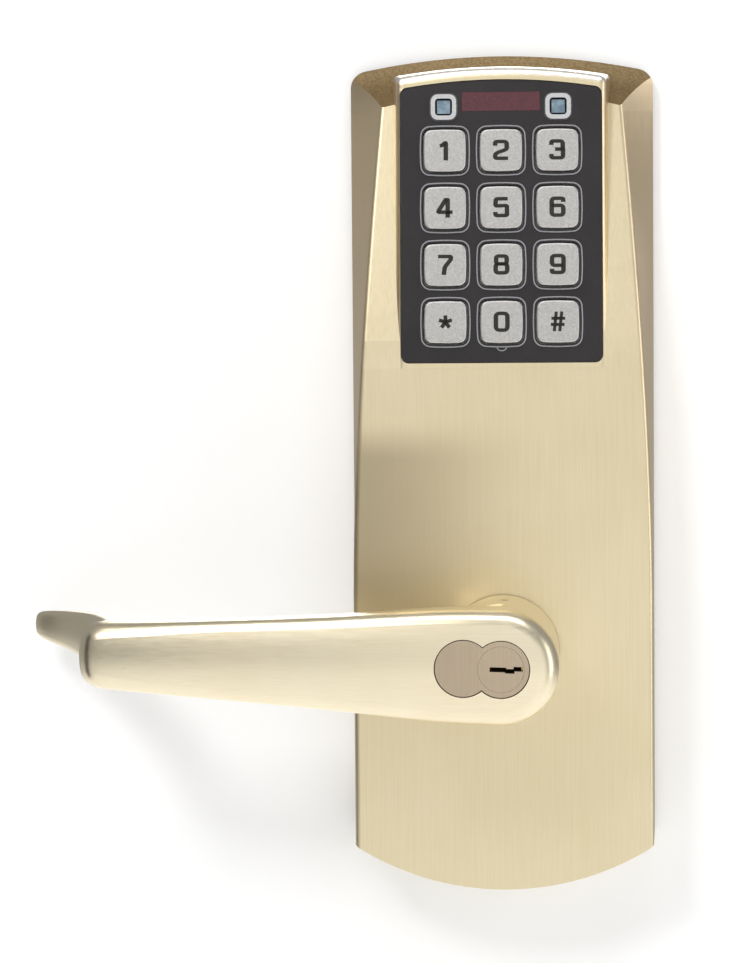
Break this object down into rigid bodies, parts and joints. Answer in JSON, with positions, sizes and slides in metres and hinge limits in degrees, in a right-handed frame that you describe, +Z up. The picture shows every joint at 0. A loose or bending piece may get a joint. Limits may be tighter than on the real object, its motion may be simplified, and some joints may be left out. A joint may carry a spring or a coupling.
{
  "type": "keypad lever lock trim",
  "caption": "Outside lock trim: arched escutcheon with a tilted push-button keypad and indicator window, and a return lever holding a key core.",
  "frame": {"origin": "on the lever spindle's axis, in the plane of the door's face (the gasket's back face)", "axes": "+Z up the door, +X to the right as seen from outside, +Y into the door, so the trim stands out towards -Y"},
  "size_m": [0.1735, 0.1154, 0.2302],
  "materials": {
    "satin_brass": "satin, vertically brushed",
    "lever_brass": "satin, brushed along its length",
    "core_bronze": "satin",
    "yellow_brass": "machined",
    "bronze": "sintered",
    "silver_key": "satin grained",
    "black_panel": "satin",
    "rim_print": "satin",
    "red_window": "clear tinted",
    "lamp_lens": "frosted",
    "lamp_silver": "satin",
    "silicone": "matte",
    "gasket_rubber": "matte",
    "steel": "zinc plated",
    "dark_steel": "hardened, oiled",
    "board_green": "solder mask",
    "chip_black": "moulded",
    "nylon": "moulded",
    "led_white": "clear"
  },
  "bodies": {
    "escutcheon": {"housing": "satin_brass", "gasket": "gasket_rubber", "mounting_plate": "steel", "mounting_posts": "steel", "plate_screws": "steel", "shield_plate": "dark_steel", "keypad_bezel": "black_panel", "key_rims": "rim_print", "keypad_membrane": "silicone", "snap_domes": "steel", "control_board": "board_green", "panel_screws": "steel", "lamp_frames": "lamp_silver", "lamp_lenses": "lamp_lens", "status_leds": "led_white", "display_window": "red_window", "board_chips": "chip_black", "board_connector": "nylon", "buzzer": "chip_black", "keypad_clamps": "steel", "clamp_screws": "steel", "spindle_bush": "bronze", "return_spring": "dark_steel", "spring_cage": "nylon", "clutch_motor": "steel", "motor_bracket": "nylon"},
    "lever": {"lever_handle": "lever_brass", "lever_catch": "dark_steel", "lever_sleeve": "steel", "retaining_ring": "dark_steel", "drive_collar": "steel", "core_shell": "core_bronze", "driver_pins": "yellow_brass", "pin_springs": "steel", "pin_caps": "yellow_brass"},
    "plug": {"key_plug": "core_bronze", "bottom_pins": "yellow_brass"},
    "control": {"control_sleeve": "yellow_brass", "build_up_pins": "yellow_brass"},
    "output": {"drive_hub": "steel", "output_spindle": "steel"},
    "clutch_pin_body": {"clutch_pin": "dark_steel"},
    "slider": {"clutch_slider": "steel"},
    "screw": {"lead_screw": "steel"},
    "button_1": {"key_1": "silver_key"},
    "button_2": {"key_2": "silver_key"},
    "button_3": {"key_3": "silver_key"},
    "button_4": {"key_4": "silver_key"},
    "button_5": {"key_5": "silver_key"},
    "button_6": {"key_6": "silver_key"},
    "button_7": {"key_7": "silver_key"},
    "button_8": {"key_8": "silver_key"},
    "button_9": {"key_9": "silver_key"},
    "button_star": {"key_star": "silver_key"},
    "button_0": {"key_0": "silver_key"},
    "button_hash": {"key_hash": "silver_key"}
  },
  "joints": [
    {"name": "lever_turn", "type": "hinge", "parent": "escutcheon", "child": "lever", "pos_m": [0, 0, 0], "axis": [0, 1, 0], "range_deg": [-50, 50], "stiffness_Nm_per_rad": 2, "deforming": ["return_spring"]},
    {"name": "output_turn", "type": "hinge", "parent": "escutcheon", "child": "output", "pos_m": [0, 0, 0], "axis": [0, 1, 0], "range_deg": [-50, 50]},
    {"name": "key_turn", "type": "hinge", "parent": "lever", "child": "plug", "pos_m": [0, -0.0695, 0], "axis": [0, 1, 0], "range_deg": [-90, 90]},
    {"name": "control_turn", "type": "hinge", "parent": "lever", "child": "control", "pos_m": [0, -0.0695, 0], "axis": [0, -1, 0], "range_deg": [0, 15]},
    {"name": "screw_turn", "type": "hinge", "parent": "escutcheon", "child": "screw", "pos_m": [0, -0.0092, 0.04], "axis": [0, 0, -1], "range_deg": [0, 360.5]},
    {"name": "slider_slide", "type": "slide", "parent": "escutcheon", "child": "slider", "axis": [0, 0, -1], "range_m": [0, 0.003]},
    {"name": "clutch_pin_slide", "type": "slide", "parent": "lever", "child": "clutch_pin_body", "axis": [0, 0, -1], "range_m": [0, 0.0017]},
    {"name": "press_1", "type": "slide", "parent": "escutcheon", "child": "button_1", "axis": [0, 0.9962, -0.0872], "range_m": [0, 0.001], "stiffness_N_per_m": 900, "springref_m": -0.0008, "deforming": ["keypad_membrane", "snap_domes"]},
    {"name": "press_2", "type": "slide", "parent": "escutcheon", "child": "button_2", "axis": [0, 0.9962, -0.0872], "range_m": [0, 0.001], "stiffness_N_per_m": 900, "springref_m": -0.0008, "deforming": ["keypad_membrane", "snap_domes"]},
    {"name": "press_3", "type": "slide", "parent": "escutcheon", "child": "button_3", "axis": [0, 0.9962, -0.0872], "range_m": [0, 0.001], "stiffness_N_per_m": 900, "springref_m": -0.0008, "deforming": ["keypad_membrane", "snap_domes"]},
    {"name": "press_4", "type": "slide", "parent": "escutcheon", "child": "button_4", "axis": [0, 0.9962, -0.0872], "range_m": [0, 0.001], "stiffness_N_per_m": 900, "springref_m": -0.0008, "deforming": ["keypad_membrane", "snap_domes"]},
    {"name": "press_5", "type": "slide", "parent": "escutcheon", "child": "button_5", "axis": [0, 0.9962, -0.0872], "range_m": [0, 0.001], "stiffness_N_per_m": 900, "springref_m": -0.0008, "deforming": ["keypad_membrane", "snap_domes"]},
    {"name": "press_6", "type": "slide", "parent": "escutcheon", "child": "button_6", "axis": [0, 0.9962, -0.0872], "range_m": [0, 0.001], "stiffness_N_per_m": 900, "springref_m": -0.0008, "deforming": ["keypad_membrane", "snap_domes"]},
    {"name": "press_7", "type": "slide", "parent": "escutcheon", "child": "button_7", "axis": [0, 0.9962, -0.0872], "range_m": [0, 0.001], "stiffness_N_per_m": 900, "springref_m": -0.0008, "deforming": ["keypad_membrane", "snap_domes"]},
    {"name": "press_8", "type": "slide", "parent": "escutcheon", "child": "button_8", "axis": [0, 0.9962, -0.0872], "range_m": [0, 0.001], "stiffness_N_per_m": 900, "springref_m": -0.0008, "deforming": ["keypad_membrane", "snap_domes"]},
    {"name": "press_9", "type": "slide", "parent": "escutcheon", "child": "button_9", "axis": [0, 0.9962, -0.0872], "range_m": [0, 0.001], "stiffness_N_per_m": 900, "springref_m": -0.0008, "deforming": ["keypad_membrane", "snap_domes"]},
    {"name": "press_star", "type": "slide", "parent": "escutcheon", "child": "button_star", "axis": [0, 0.9962, -0.0872], "range_m": [0, 0.001], "stiffness_N_per_m": 900, "springref_m": -0.0008, "deforming": ["keypad_membrane", "snap_domes"]},
    {"name": "press_0", "type": "slide", "parent": "escutcheon", "child": "button_0", "axis": [0, 0.9962, -0.0872], "range_m": [0, 0.001], "stiffness_N_per_m": 900, "springref_m": -0.0008, "deforming": ["keypad_membrane", "snap_domes"]},
    {"name": "press_hash", "type": "slide", "parent": "escutcheon", "child": "button_hash", "axis": [0, 0.9962, -0.0872], "range_m": [0, 0.001], "stiffness_N_per_m": 900, "springref_m": -0.0008, "deforming": ["keypad_membrane", "snap_domes"]}
  ],
  "couplings": [
    {"joint": "output_turn", "follows": "lever_turn", "ratio": 1},
    {"joint": "screw_turn", "follows": "slider_slide", "rad_per_m": 2094.4},
    {"joint": "clutch_pin_slide", "follows": "slider_slide", "ratio": 0.5665}
  ]
}
